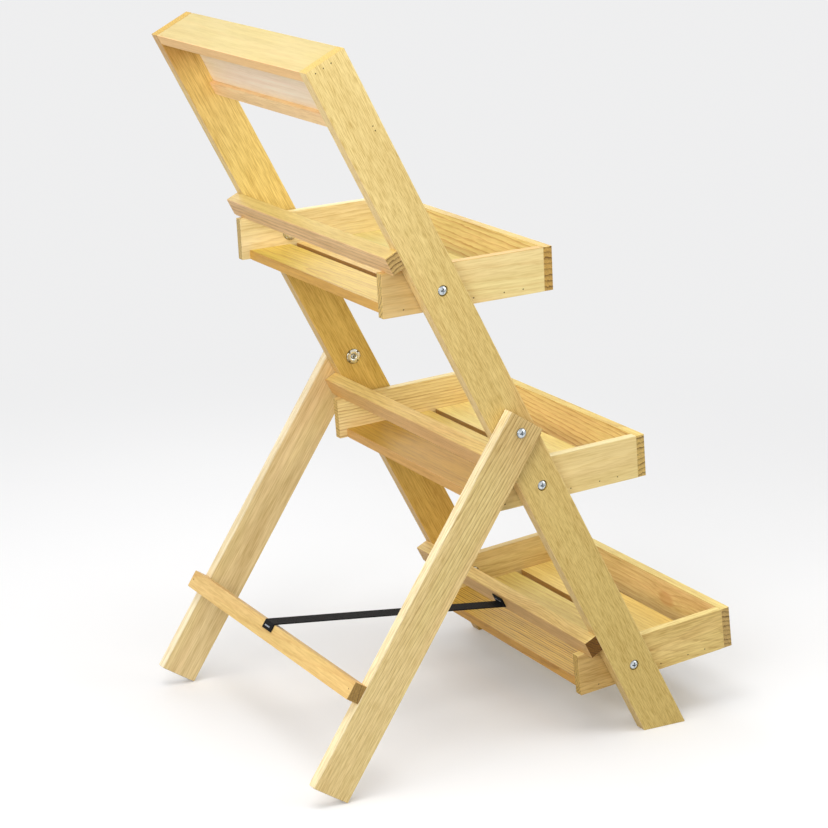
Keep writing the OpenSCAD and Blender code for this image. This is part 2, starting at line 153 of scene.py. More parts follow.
class Tree:
    """Builds the nodes of a material or world from short calls. A value is a constant or a node's socket."""

    def __init__(self, owner):
        owner.use_nodes = True
        self.owner, self.tree = owner, owner.node_tree
        self.tree.nodes.clear()

    @cached_property
    def coords(self):
        return self.new("ShaderNodeTexCoord").outputs

    def new(self, kind, inputs=None, **settings):
        made = self.tree.nodes.new(kind)
        for key, value in settings.items():
            setattr(made, key, value)
        for key, value in (inputs or {}).items():
            self.put(made.inputs[key], value)
        return made

    def put(self, socket, value):
        if isinstance(value, bpy.types.NodeSocket):
            self.tree.links.new(value, socket)
        else:
            socket.default_value = value

    def math(self, how, *values, clamp=False):
        inputs = dict(enumerate(values))
        return self.new("ShaderNodeMath", inputs, operation=how, use_clamp=clamp).outputs[0]

    def vector(self, how, a, b=(0, 0, 0)):
        made = self.new("ShaderNodeVectorMath", {0: a, 1: b}, operation=how)
        return made.outputs["Value" if how in ("DOT_PRODUCT", "LENGTH") else "Vector"]

    def join(self, x, y, z):
        return self.new("ShaderNodeCombineXYZ", {0: x, 1: y, 2: z}).outputs[0]

    def noise(self, vector, detail=2.0, rough=0.5, scale=1.0):
        """The noise node's outputs: a value and a colour."""
        inputs = {"Vector": vector, "Scale": scale, "Detail": detail, "Roughness": rough}
        return self.new("ShaderNodeTexNoise", inputs).outputs

    def ramp(self, value, stops):
        made = self.new("ShaderNodeValToRGB", {0: value})
        band = made.color_ramp
        while len(band.elements) < len(stops):
            band.elements.new(0.5)
        for element, (place, level) in zip(band.elements, stops):
            element.position = place
            element.color = (level, level, level, 1)
        return made.outputs[0]

    def span(self, value, low, high, to_low=0.0, to_high=1.0):
        """Goes smoothly from to_low to to_high while the value goes from low to high."""
        inputs = {0: value, 1: low, 2: high, 3: to_low, 4: to_high}
        return self.new("ShaderNodeMapRange", inputs, interpolation_type="SMOOTHSTEP").outputs[0]

    def mix(self, share, a, b, how="MIX"):
        made = self.new("ShaderNodeMix", data_type="RGBA", blend_type=how, clamp_factor=True)
        for socket, value in zip((made.inputs[0], made.inputs[6], made.inputs[7]), (share, a, b)):
            self.put(socket, value)
        return made.outputs[2]

    def dimmed(self, colour, level):
        return self.mix(1.0, colour, self.join(level, level, level), how="MULTIPLY")

    def from_axis(self, place):
        """Distance from the axis along X that goes through a place."""
        off = self.vector("SUBTRACT", self.coords["Object"], tuple(place))
        return self.vector("LENGTH", self.vector("MULTIPLY", off, (0, 1, 1)))

    def output(self, surface, kind="ShaderNodeOutputMaterial"):
        self.new(kind, {0: surface})

    def principled(self, inputs, height, strength, distance):
        """Ends a material with a Principled shader that a height bumps, and returns the material."""
        bump = self.new("ShaderNodeBump", {"Height": height, "Strength": strength, "Distance": distance})
        shader = self.new("ShaderNodeBsdfPrincipled", {**inputs, "Normal": bump.outputs[0]})
        self.output(shader.outputs[0])
        return self.owner


# ---------- wood ----------


class Wood(Tree):
    """A tree that knows a board's own directions: along its length, wide across its width, deep through it."""

    def __init__(self, name, centre, axes, seed):
        super().__init__(bpy.data.materials.new(name))
        here = self.vector("SUBTRACT", self.coords["Object"], tuple(centre))
        self.along, self.wide, self.deep = (self.vector("DOT_PRODUCT", here, tuple(a)) for a in axes)
        self.shift = (seed * 1.37 % 7, seed * 2.11 % 5, seed * 0.73 % 3)

    def fibres(self, lengthwise, across, detail=2.0, rough=0.5):
        """Noise with so many waves per metre along the board and across it."""
        place = self.join(
            self.math("MULTIPLY", self.along, lengthwise),
            self.math("MULTIPLY", self.wide, across),
            self.math("MULTIPLY", self.deep, across),
        )
        return self.noise(self.vector("ADD", place, self.shift), detail, rough)


# Where the painted shadow round a tee nut's flange starts and ends in mm from its axis, and how dark it is
NUT_SHADOW_RIM, NUT_SHADOW_LEVEL = (7.7, 8.3), 0.3
KNOT_SQUEEZE = 0.6
# Late wood over one year's ring: dark builds up slowly and ends at once
RING_STOPS = ((0, 0.0), (0.45, 0.06), (0.74, 0.45), (0.9, 1.0), (1.0, 0.0))


def late_wood(t, ring, heart, drift, wander, fade, knots):
    """How much a point lies in the dark late wood of its year, from 0 to 1, and how dark a knot makes it."""
    # The distance from the heart line, which wavers slowly, tells the year. Its rings have ragged edges.
    stray = t.vector("SUBTRACT", t.fibres(3.2, 26, detail=4, rough=0.4)["Color"], (0.5, 0.5, 0.5))
    stray = t.vector("MULTIPLY", stray, (0, wander * MM * 2, wander * MM * 2))
    strays = t.new("ShaderNodeSeparateXYZ", {0: stray}).outputs
    from_heart = []
    for place, moved, middle_at, lean in zip((t.wide, t.deep), strays[1:], heart, drift):
        line = t.math("MULTIPLY_ADD", t.along, -lean, -middle_at * MM)
        from_heart.append(t.math("ADD", line, t.math("ADD", place, moved)))
    radius = t.vector("LENGTH", t.join(0.0, *from_heart))
    phase = t.math("MULTIPLY", radius, 1 / (ring * MM))
    ragged = t.fibres(36, 300, rough=0.6)[0]
    phase = t.math("ADD", phase, t.span(ragged, 0.2, 0.8, -0.16, 0.16))

    # A knot pushes the rings aside round an oval that is longer along the board, and may be dark inside.
    knot_dark = None
    for place_along, place_wide, reach, pull, darkness in knots:
        off_along = t.math("MULTIPLY", t.math("SUBTRACT", t.along, place_along * MM), KNOT_SQUEEZE)
        off_wide = t.math("SUBTRACT", t.wide, place_wide * MM)
        far = t.math("DIVIDE", t.vector("LENGTH", t.join(off_along, off_wide, 0.0)), reach * MM)
        swell = t.math("EXPONENT", t.math("MULTIPLY", t.math("MULTIPLY", far, far), -1.0))
        phase = t.math("MULTIPLY_ADD", swell, pull, phase)
        core = t.math("MULTIPLY", t.span(far, 0.62, 0.3), darkness)
        knot_dark = core if knot_dark is None else t.math("MAXIMUM", knot_dark, core)

    # Some years are stronger than others.
    year = t.math("FLOOR", phase)
    late = t.ramp(t.math("SUBTRACT", phase, year), RING_STOPS)
    strength = t.new("ShaderNodeTexWhiteNoise", {"W": year}, noise_dimensions="1D").outputs[0]
    late = t.math("MULTIPLY", late, t.math("MULTIPLY_ADD", strength, 0.7, 0.45), clamp=True)
    if fade:
        late = t.math("MULTIPLY", late, t.span(t.along, -fade * MM, fade * MM, 1, 0.25))
    return late, knot_dark


def end_grain(t, late, pale, ends):
    """The colour of a board's sawn ends, with darker rings and open pores."""
    light = shade(pale, *ends[:3])
    end = t.mix(t.math("MULTIPLY", late, ends[3]), light, shade(light, 0.2, 0.14, 0.08))
    return t.dimmed(end, t.span(t.fibres(200, 900)[0], 0.3, 0.7, 0.78, 1.1))


def grain(
    name, centre, axes, seed, pale, dark, ring=2.6, heart=(0, -40), drift=(0.01, 0.03), contrast=0.5,
    wander=4.0, fade=0.0, rosy=0.3, mottle=0.5, speck=0.5, fine=1.0, ends=(0.72, 0.63, 0.45, 0.8),
    tints=(), knots=(), nut=None,
):
    """Varnished pine, with growth rings that are cylinders round a heart line near the board.

    centre, axes: the board's middle, and its directions of length, width and thickness.
    seed: shifts the noise, so that no two boards look alike.
    pale, dark: display colours of the early and the late wood.
    ring: the rings' mean width in mm. contrast: how strongly they show. wander: how far they waver, in mm.
    heart: the heart line's place in mm from the middle, across and deep. drift: how far it strays per length.
    fade: where set, the rings fade along the board from this many mm before its middle to as many past it.
    rosy: share of pinker patches. mottle: strength of soft light and dark patches.
    speck, fine: strength and fineness of the short fibre marks.
    ends: factors of pale's red, green and blue on the sawn ends, and how strongly rings show there.
    tints: rows of a direction, where the tint starts and where it is full in mm, its colour and its share. Most
    of them are painted light and shade.
    knots: rows of places along and across in mm, reach in mm, pull on the rings and darkness.
    nut: a point on the axis of a tee nut, round whose flange the wood has a ring of painted shadow.
    """
    t = Wood(name, centre, axes, seed)
    late, knot_dark = late_wood(t, ring, heart, drift, wander, fade, knots)
    fibre = t.fibres(48 * fine, 700 * fine, rough=0.6)[0]
    streak = t.fibres(5, 190, detail=3, rough=0.6)[0]
    cloud = t.fibres(6, 22, detail=3, rough=0.55)[0]
    flame = t.fibres(11, 120, detail=3, rough=0.6)[0]
    hue = t.new("ShaderNodeSeparateXYZ", {0: t.fibres(4, 26)[1]}).outputs

    # The board's colours, with tints that are mostly painted light and shade. Tints on its edge faces also
    # weaken the rings there.
    pale, dark = lin(*pale), lin(*dark)
    pinker, greener = shade(pale, 0.98, 0.86, 0.86), shade(pale, 0.93, 0.97, 0.84)
    base = t.mix(t.span(hue[0], 0.45, 0.65, 0.0, rosy), pale, pinker)
    base = t.mix(t.span(hue[1], 0.45, 0.65, 0.0, 0.45), base, greener)
    lines = t.math("MULTIPLY", late, contrast)
    for way, start, full, colour, share in tints:
        reach = t.span(getattr(t, way), start * MM, full * MM, 0.0, share)
        base = t.mix(reach, base, lin(*colour))
        if way != "along":
            lines = t.math("MULTIPLY", lines, t.math("MULTIPLY_ADD", reach, -0.6, 1.0))
    face = t.mix(lines, base, dark)

    # Light and dark marks of four sizes. Where the wood is darker it is also warmer.
    tone = t.span(streak, 0.3, 0.7, -0.07, 0.05)
    for figure, low, high, darkest, lightest in (
        (cloud, 0.3, 0.7, -0.06 * mottle, 0.05 * mottle),
        (fibre, 0.3, 0.62, -0.22 * speck, 0.078 * speck),
        (flame, 0.28, 0.7, -0.12 * mottle, 0.08 * mottle),
    ):
        tone = t.math("ADD", tone, t.span(figure, low, high, darkest, lightest))
    warm = t.join(*[t.math("MULTIPLY_ADD", tone, k, 1.0) for k in (0.9, 1.15, 1.7)])
    face = t.mix(1.0, face, warm, how="MULTIPLY")
    # A ring of painted shadow round the tee nut's flange.
    if nut is not None:
        inner, outer = NUT_SHADOW_RIM
        face = t.dimmed(face, t.span(t.from_axis(nut), inner * MM, outer * MM, NUT_SHADOW_LEVEL, 1.0))

    facing = t.math("ABSOLUTE", t.vector("DOT_PRODUCT", t.coords["Normal"], tuple(axes[0])))
    is_end = t.span(facing, 0.55, 0.85)
    colour = t.mix(is_end, face, end_grain(t, late, pale, ends))
    if knot_dark is not None:
        colour = t.mix(knot_dark, colour, shade(dark, 1.1, 0.85, 0.75))
    rough = t.math("ADD", t.span(cloud, 0.3, 0.7, 0.46, 0.56), t.math("MULTIPLY", is_end, 0.14))
    height = t.math("MULTIPLY_ADD", late, 0.5, t.math("MULTIPLY", fibre, 0.5))
    inputs = {
        "Base Color": colour, "Roughness": rough, "Specular IOR Level": 0.28,
        "Coat Weight": 0.06, "Coat Roughness": 0.3,
    }
    return t.principled(inputs, height, strength=0.25, distance=0.3 * MM)


# ---------- metal and webbing ----------


def zinc(name, tint, rough, worn, metallic=1.0, pivot=None, shade_rings=()):
    """Zinc plating with faint clouds and handling marks. Its last argument holds rings of painted shade: rows
    of a start and an end in mm from an axis along X through the pivot, and the share of the colour that is left
    inside and outside them."""
    t = Tree(bpy.data.materials.new(name))
    cloud = t.noise(t.coords["Object"], detail=4, rough=0.65, scale=420)[0]
    fine = t.noise(t.coords["Object"], detail=3, rough=0.7, scale=2600)[0]
    colour = t.mix(t.span(cloud, 0.42, 0.7, 0.0, worn), tint, shade(tint, 0.72, 0.72, 0.72))
    # Painted shade in rings round the pivot's axis.
    for start, end, inside, outside in shade_rings:
        colour = t.dimmed(colour, t.span(t.from_axis(pivot), start * MM, end * MM, inside, outside))
    clouded = t.span(cloud, 0.3, 0.7, rough - 0.06, rough + 0.08)
    inputs = {
        "Base Color": colour, "Metallic": metallic,
        "Roughness": t.math("ADD", clouded, t.span(fine, 0.3, 0.7, -0.03, 0.05)),
    }
    return t.principled(inputs, fine, strength=0.08, distance=0.1 * MM)


def webbing(name):
    """Black woven webbing: warp ribs crossed by a herringbone weft, with bound edges. One unit of UV is the
    strap's width."""
    t = Tree(bpy.data.materials.new(name))
    flat = t.new("ShaderNodeSeparateXYZ", {0: t.coords["UV"]}).outputs
    across, lengthwise = flat[0], flat[1]
    zigzag = t.math("ABSOLUTE", t.math("SUBTRACT", t.math("FRACT", t.math("MULTIPLY", across, 5.0)), 0.5))
    slanted = t.math("ADD", t.math("MULTIPLY", zigzag, 0.12), lengthwise)
    warp = t.math("SINE", t.math("MULTIPLY", across, math.tau * 15))
    weft = t.math("SINE", t.math("MULTIPLY", slanted, math.tau * 14))
    weave = t.math("MULTIPLY_ADD", t.math("MULTIPLY", warp, weft), 0.5, 0.5)
    fuzz = t.noise(t.coords["Object"], detail=3, rough=0.7, scale=3000)[0]
    edge = t.span(t.math("ABSOLUTE", t.math("SUBTRACT", across, 0.5)), 0.42, 0.5)
    colour = t.mix(weave, lin(6, 6, 8), lin(16, 16, 18))
    colour = t.mix(t.math("MULTIPLY", edge, 0.5), colour, lin(10, 10, 12))
    colour = t.mix(t.span(fuzz, 0.6, 0.8, 0.0, 0.2), colour, lin(36, 35, 35))
    inputs = {
        "Base Color": colour, "Roughness": t.span(weave, 0.0, 1.0, 0.85, 0.62), "Specular IOR Level": 0.12,
        "Sheen Weight": 0.02, "Sheen Roughness": 0.5,
    }
    return t.principled(inputs, t.math("MULTIPLY_ADD", fuzz, 0.25, weave), strength=0.55, distance=0.4 * MM)


# ---------- shapes ----------

LONG_ARRIS, WEAR_STEP = 60 * MM, 3.5 * MM  # arrises this long are worn, in points this far apart
KEPT_CORNER = 3 * MM  # the worn part of an arris stops this far from its ends
SLOW_WEAR, CHIPS, CHIP_FROM = 60, 260, 0.36  # waves per metre of both, and the noise where a chip begins
SAME_FACE, CORNER = 0.02, 0.4  # radians: faces turning less are merged, and edges turning more are arrises


def middle(node, axes):
    """The middle of a board, measured along its own three directions."""
    points = [v.co for v in nodes[node].data.vertices]
    place = Vector((0, 0, 0))
    for axis in axes:
        reach = [p.dot(axis) for p in points]
        place += axis * (min(reach) + max(reach)) / 2
    return place


def stand_for(piece, node, material):
    """Lets a piece replace a CAD node, on the node's body and in its material slot."""
    piece.data.materials.clear()
    piece.data.materials.append(material)
    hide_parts(node)
    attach(piece, nodes[node]["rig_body"])


def shade_smooth(shape, sharp_from):
    """Smooth shading, apart from edges that turn by more than an angle."""
    for face in shape.faces:
        face.smooth = True
    for edge in shape.edges:
        edge.smooth = not (edge.is_manifold and edge.calc_face_angle() > sharp_from)


def wear_away(shape, arrises, radius, wear, seed):
    """Varies the rounding along each arris, with small chips, and keeps both faces beside it flat."""
    for start, end in arrises:
        run = (end - start).normalized()
        reach = (end - start).length
        for v in shape.verts:
            gone = (v.co - start).dot(run)
            if not KEPT_CORNER < gone < reach - KEPT_CORNER:
                continue
            off = v.co - start - run * gone
            if off.length > radius * MM * 1.05:
                continue
            slow = noise.noise(v.co * SLOW_WEAR + seed)
            chip = noise.noise(run * gone * CHIPS + seed * 2 + start * 30)
            grow = 1 + wear * (0.45 * slow + 2.6 * max(0.0, chip - CHIP_FROM) / 0.3)
            v.co = start + run * gone + off * max(grow, 0.55)


def eased(node, material, radius, shortest=8.5, wear=0.0, segments=3):
    """The node's own solid with its arrises rounded over, a little unevenly where they are worn. radius, and
    shortest, the length from which an arris is rounded, are in mm."""
    shape = bmesh.new()
    shape.from_mesh(nodes[node].data)
    bmesh.ops.remove_doubles(shape, verts=shape.verts, dist=1e-6)
    bmesh.ops.dissolve_limit(shape, angle_limit=SAME_FACE, verts=shape.verts, edges=shape.edges)
    arrises = [
        e for e in shape.edges
        if e.is_manifold and e.calc_length() > shortest * MM and e.calc_face_angle() > CORNER
    ]
    worn = [e for e in arrises if wear and e.calc_length() > LONG_ARRIS]
    lines = [(e.verts[0].co.copy(), e.verts[1].co.copy()) for e in worn]
    for e in worn:
        cuts = int(e.calc_length() / WEAR_STEP)
        made = bmesh.ops.subdivide_edges(shape, edges=[e], cuts=cuts)
        arrises += [g for g in made["geom_inner"] if isinstance(g, bmesh.types.BMEdge)]
    arrises = [e for e in dict.fromkeys(arrises) if e.is_valid]
    bmesh.ops.bevel(
        shape, geom=arrises, offset=radius * MM, offset_type="OFFSET", segments=segments, profile=0.5,
        affect="EDGES", clamp_overlap=True, material=-1,
    )
    wear_away(shape, lines, radius, wear, Vector((len(node), sum(map(ord, node)) % 17, 0.5)))
    shade_smooth(shape, sharp_from=0.7)
    mesh = bpy.data.meshes.new(node + "_eased")
    shape.to_mesh(mesh)
    shape.free()
    piece = put_in_scene(node + "_eased", mesh)
    piece.modifiers.new("normals", "WEIGHTED_NORMAL").keep_sharp = True
    stand_for(piece, node, material)


def skin(rows, capped):
    """Points and faces of equally long rings of points joined into a skin, which has caps at both ends, or else
    closes on itself."""
    around, last = len(rows[0]), (len(rows) - 1) * len(rows[0])
    faces = []
    for first in range(0, last, around):
        for k in range(around):
            a, b = first + k, first + (k + 1) % around
            faces.append((a, b, b + around, a + around))
    if capped:
        faces += [tuple(reversed(range(around))), tuple(last + k for k in range(around))]
    else:
        faces += [(last + k, last + (k + 1) % around, (k + 1) % around, k) for k in range(around)]
    return [p for row in rows for p in row], faces


# ---------- boards ----------

# A board's directions of length, width and thickness
RAIL = (UP_RAIL, BEHIND_RAIL, X)
LEG = (DOWN_LEG, BEHIND_LEG, X)
BAR = PANEL = (X, UP_RAIL, BEHIND_RAIL)
ACROSS = (X, BEHIND_RAIL, UP_RAIL)
CROSSBAR = (X, DOWN_LEG, BEHIND_LEG)

# The direction that an edge face looks in, and where a tint of that face starts and is full in mm. The tints on
# these faces are painted light and shade: painted highlights on the rails' front arrises and the legs' rear
# edges, a lighter painted tone on the rails' and the top board's rear edges, painted light and shade on the
# trays' top edges, and painted shade on the stop bars' rear faces and the rear slats' rear edges.
RAIL_REAR, RAIL_FRONT = ("wide", 20.0, 20.8), ("wide", -19.9, -20.8)
LEG_REAR, TOP_REAR, BAR_REAR = ("wide", 18.6, 19.6), ("wide", 19.9, 20.7), ("deep", 5.4, 6.5)
TRAY_TOP, SLAT_REAR = ("wide", 20.0, 20.7), ("wide", 21.2, 22.2)
GAP_SHADE = ("wide", 21.7, 22.2, (160, 112, 54), 0.85)  # the slats' edges in the gaps between them: their darker raw wood, with painted shade over it
RAIL_ENDS = (0.95, 0.9, 0.68, 0.3)

BOARDS = {
    "rail_left": (RAIL, dict(
        pale=(226, 197, 123), dark=(188, 151, 80), ring=1.7, heart=(30, 18), drift=(0.02, 0.02),
        contrast=0.14, wander=4, rosy=0.55, mottle=0.3, speck=1.1, fine=1.8, ends=RAIL_ENDS,
        # Painted light and shade: lighter towards the top and darker towards the foot, a lighter painted tone
        # on the rear edge and a painted highlight along the front arris.
        tints=(
            ("along", 40, 330, (241, 214, 142), 1.0),
            ("along", -20, -220, (217, 189, 113), 1.0),
            (*RAIL_REAR, (242, 208, 166), 0.25),
            (*RAIL_FRONT, (252, 230, 165), 0.3),
        ),
    )),
    "rail_right": (RAIL, dict(
        pale=(218, 182, 94), dark=(181, 132, 48), ring=2.8, heart=(-40, -18), drift=(0.03, 0.02),
        contrast=0.3, wander=7, rosy=0.45, mottle=0.5, speck=0.9, fine=1.5, ends=RAIL_ENDS,
        # Painted light and shade: lighter along the upper part and darker towards the foot, a painted shadow of
        # the top board at the top end, a lighter painted tone on the rear edge and a painted highlight along
        # the front arris.
        tints=(
            ("along", 110, 190, (243, 215, 129), 1.0),
            ("along", -50, -250, (208, 167, 82), 1.0),
            ("along", 200, 320, (236, 203, 122), 0.9),
            ("along", 325, 370, (203, 156, 82), 0.9),
            (*RAIL_REAR, (240, 208, 166), 0.3),
            (*RAIL_FRONT, (252, 230, 160), 0.3),
        ),
    )),
    "rear_leg_left": (LEG, dict(
        pale=(235, 209, 146), dark=(170, 132, 70), ring=2.9, heart=(40, 20), drift=(0.03, 0.02),
        contrast=1.0, wander=2.5, fade=260, mottle=0.12, speck=0.9, fine=1.5,
        # Darker towards the upper end, and a painted highlight on the rear edge, which faces up towards the
        # lamps.
        tints=(("along", -110, -180, (222, 192, 128), 1.0), (*LEG_REAR, (252, 234, 190), 0.85)),
    )),
    "rear_leg_right": (LEG, dict(
        pale=(240, 214, 157), dark=(201, 168, 106), ring=2.2, heart=(70, -14), drift=(0.02, 0.02),
        # A painted highlight on the rear edge, which faces up towards the lamps.
        contrast=0.3, wander=3, mottle=1.0, tints=((*LEG_REAR, (255, 240, 205), 0.7),),
    )),
    "top_board": (ACROSS, dict(
        pale=(201, 179, 111), dark=(204, 168, 96), ring=3.4, heart=(20, -60), drift=(0.01, 0.02),
        # A lighter, pinker painted tone of light on the rear edge.
        contrast=0.25, rosy=0.0, mottle=0.12, speck=0.25, tints=((*TOP_REAR, (253, 202, 137), 0.8),),
    )),
    "upper_panel": (PANEL, dict(
        pale=(255, 236, 206), dark=(249, 208, 184), ring=3.4, heart=(10, 50), drift=(0.0, 0.02),
        contrast=0.08, rosy=0.4, mottle=0.1, speck=0.2,
    )),
    "panel_batten": (ACROSS, dict(
        pale=(255, 217, 161), dark=(225, 171, 108), ring=2.2, heart=(10, 50), contrast=0.35, wander=3,
        rosy=0.5, mottle=0.4,
    )),
    "stop_bar_1": (BAR, dict(
        pale=(232, 203, 125), dark=(128, 86, 52), ring=4.2, heart=(-29.3, -2), drift=(0.0, 0.0),
        contrast=0.8, wander=1.0, rosy=0.7, mottle=0.5, ends=(0.74, 0.66, 0.66, 1.0),
        # Painted shade on the rear face, which faces down.
        tints=((*BAR_REAR, (232, 187, 132), 0.8),),
    )),
    "stop_bar_2": (BAR, dict(
        pale=(251, 219, 141), dark=(165, 112, 58), ring=2.4, heart=(40, 30), drift=(0.02, 0.01),
        # Painted shade on the rear face, which faces down.
        contrast=0.3, wander=4, rosy=0.7, mottle=0.5, tints=((*BAR_REAR, (219, 168, 101), 0.8),),
    )),
    "stop_bar_3": (BAR, dict(
        pale=(241, 216, 141), dark=(190, 147, 84), ring=2.4, heart=(30, -26), drift=(0.02, 0.03),
        # Its sawn end is darker end grain with painted shade over it, and its rear face, which faces down, has
        # painted shade.
        contrast=0.6, wander=5, rosy=0.6, mottle=0.9, ends=(0.2, 0.105, 0.01, 0.9),
        tints=((*BAR_REAR, (199, 155, 95), 0.85),),
        knots=((-104, 0, 13, 1.8, 0.0), (-72, 2, 16, 2.6, 0.0), (-44, -2, 10, 1.4, 0.0)),
    )),
    "rear_crossbar": (CROSSBAR, dict(
        pale=(231, 195, 126), dark=(206, 154, 84), ring=2.6, heart=(-12, -48), drift=(0.0, 0.02),
        contrast=0.5, wander=3, rosy=0.4, mottle=0.4, ends=(0.48, 0.42, 0.3, 0.7),
    )),
}
TRAYS = {
    1: dict(
        side_left=dict(
            pale=(248, 223, 158), dark=(217, 178, 103), ring=3.6, heart=(24, 44), drift=(0.02, 0.02),
            contrast=0.4, rosy=0.2, mottle=0.25, speck=0.4,
            # Painted shadow on the rear end, and painted light and shade on the top edge.
            tints=(("along", 10, 40, (225, 192, 128), 1.0), (*TRAY_TOP, (227, 188, 113), 0.9)),
        ),
        side_right=dict(
            pale=(247, 226, 172), dark=(204, 168, 82), ring=3.0, heart=(-18, 34), drift=(0.03, 0.03),
            contrast=0.3, rosy=0.1, mottle=0.4,
        ),
        front=dict(
            pale=(240, 218, 148), dark=(187, 123, 48), ring=5.4, heart=(-60, 6), drift=(0.03, 0.0),
            contrast=0.75, wander=3.0, rosy=0.5, mottle=0.4, ends=(0.71, 0.53, 0.31, 1.0),
            # Painted light and shade on the top edge.
            tints=((*TRAY_TOP, (229, 200, 120), 0.9),),
        ),
        slat_rear=dict(
            pale=(235, 205, 98), dark=(190, 127, 41), ring=4.2, heart=(10, 16), drift=(0.04, 0.02),
            # Painted shade on the rear edge.
            contrast=0.5, wander=5, rosy=0.15, mottle=0.5, tints=((*SLAT_REAR, (205, 150, 70), 0.8),),
        ),
        slat_middle=dict(
            pale=(238, 206, 130), dark=(206, 152, 78), ring=3.2, heart=(-30, 30), drift=(0.02, 0.03),
            contrast=0.5, rosy=0.1, mottle=0.4, tints=(GAP_SHADE,),
        ),
        slat_front=dict(
            pale=(222, 206, 136), dark=(210, 180, 86), ring=3.0, heart=(40, 40), contrast=0.4, mottle=0.2,
            tints=(GAP_SHADE,),
        ),
    ),
    2: dict(
        side_left=dict(
            pale=(244, 218, 152), dark=(227, 195, 120), ring=3.8, heart=(-20, 60), drift=(0.01, 0.02),
            # Painted light and shade on the top edge.
            contrast=0.35, rosy=0.15, mottle=0.3, speck=0.4, tints=((*TRAY_TOP, (246, 230, 174), 0.9),),
        ),
        side_right=dict(
            pale=(253, 229, 166), dark=(176, 116, 42), ring=3.4, heart=(-80, 10), drift=(0.02, 0.0),
            contrast=0.7, wander=2.5, rosy=0.2, mottle=0.3,
        ),
        front=dict(
            pale=(250, 224, 154), dark=(186, 118, 44), ring=4.8, heart=(-50, -8), drift=(0.05, 0.02),
            contrast=0.62, wander=3.5, rosy=0.5, mottle=0.6, ends=(0.72, 0.63, 0.45, 1.0),
            # Painted light and shade on the top edge.
            tints=((*TRAY_TOP, (238, 210, 120), 0.9),),
        ),
        slat_rear=dict(
            pale=(210, 167, 71), dark=(179, 126, 50), ring=3.2, heart=(-4, 18), drift=(0.03, 0.03),
            # Painted shade on the rear edge.
            contrast=0.55, wander=5, rosy=0.3, mottle=0.6, tints=((*SLAT_REAR, (220, 171, 105), 0.8),),
        ),
        slat_middle=dict(
            pale=(244, 217, 128), dark=(214, 163, 76), ring=3.4, heart=(30, 44), contrast=0.55, mottle=0.4,
            tints=(GAP_SHADE,),
        ),
        slat_front=dict(
            pale=(255, 238, 159), dark=(236, 196, 104), ring=3.4, heart=(-20, 50), contrast=0.2,
            mottle=0.4, tints=(GAP_SHADE,),
        ),
    ),
    3: dict(
        side_left=dict(
            pale=(233, 204, 130), dark=(178, 132, 64), ring=3.0, heart=(8, 26), drift=(0.09, 0.05),
            contrast=0.4, wander=8, rosy=0.3, mottle=0.9, speck=0.8,
            # Painted shadow on the rear end, and painted light and shade on the top edge.
            tints=(("along", 10, 40, (217, 182, 113), 1.0), (*TRAY_TOP, (252, 230, 152), 0.9)),
        ),
        side_right=dict(
            pale=(228, 202, 136), dark=(191, 151, 86), ring=3.2, heart=(20, 36), contrast=0.5, wander=5,
            rosy=0.6, mottle=0.6,
        ),
        front=dict(
            pale=(244, 218, 155), dark=(193, 128, 64), ring=4.6, heart=(-60, 8), drift=(0.01, 0.0),
            contrast=0.35, wander=4, rosy=0.6, mottle=0.9, ends=(0.66, 0.57, 0.42, 1.0),
            # Painted light and shade on the top edge.
            tints=((*TRAY_TOP, (240, 218, 135), 0.9),), knots=((-55, 0, 17, 1.6, 0.35),),
        ),
        slat_rear=dict(
            pale=(228, 189, 89), dark=(120, 66, 14), ring=3.0, heart=(-50, 12), drift=(0.02, 0.0),
            # Painted shade on the rear edge.
            contrast=1.0, wander=3, rosy=0.4, mottle=0.5, tints=((*SLAT_REAR, (205, 150, 69), 0.8),),
        ),
        slat_middle=dict(
            pale=(238, 214, 129), dark=(200, 156, 75), ring=3.4, heart=(24, 40), contrast=0.5, mottle=0.5,
            tints=(GAP_SHADE,),
        ),
        slat_front=dict(
            pale=(250, 222, 132), dark=(201, 145, 56), ring=4.6, heart=(-70, 6), drift=(0.02, 0.0),
            contrast=0.28, wander=2.5, mottle=0.4, tints=((*GAP_SHADE[:3], (179, 128, 63), 0.85),),
        ),
    ),
}


def tray_board_axes(number, part):
    rear, upright = tray_axes(number)
    if part.startswith("side"):
        return (rear, upright, X)
    return (X, upright, rear) if part == "front" else (X, rear, upright)


def make_boards():
    boards = dict(BOARDS)
    for number, looks in TRAYS.items():
        for part, look in looks.items():
            boards[f"tray_{number}_{part}"] = (tray_board_axes(number, part), look)
    for count, (board, (axes, look)) in enumerate(boards.items()):
        nut = None
        if board.startswith("rail"):
            nut = PIVOTS["leg_fold"]
        elif "_side_" in board:
            nut = PIVOTS[board[:len("tray_1")] + "_fold"]
        seed = 3.1 + 1.7 * count
        wood = grain("pine_" + board, middle(board, axes), axes, seed, nut=nut, **look)
        thin = board.startswith("tray")
        eased(board, wood, radius=0.6 if thin else 0.8, wear=0.5 if thin else 1.0)


make_boards()

# ---------- fasteners, drawn in mm about +Z ----------

HEAD_R, HEAD_H, DOME_H = 4.75, 3.0, 1.65  # a bolt's pan head, and the domed part of its height
THREAD_R, THREAD_STEP, THREAD_LONG = 2.46, 0.8, 13
RECESS_R, RECESS_TIPS, RECESS_CORE = 2.8, 0.8, 1.3  # its arms' length and depth, and what its middle adds
FLANGE_R, NOTCH_R, FLANGE_H, BARREL_R, NUT_H = 7.5, 5.5, 1.2, 3.4, 7.0
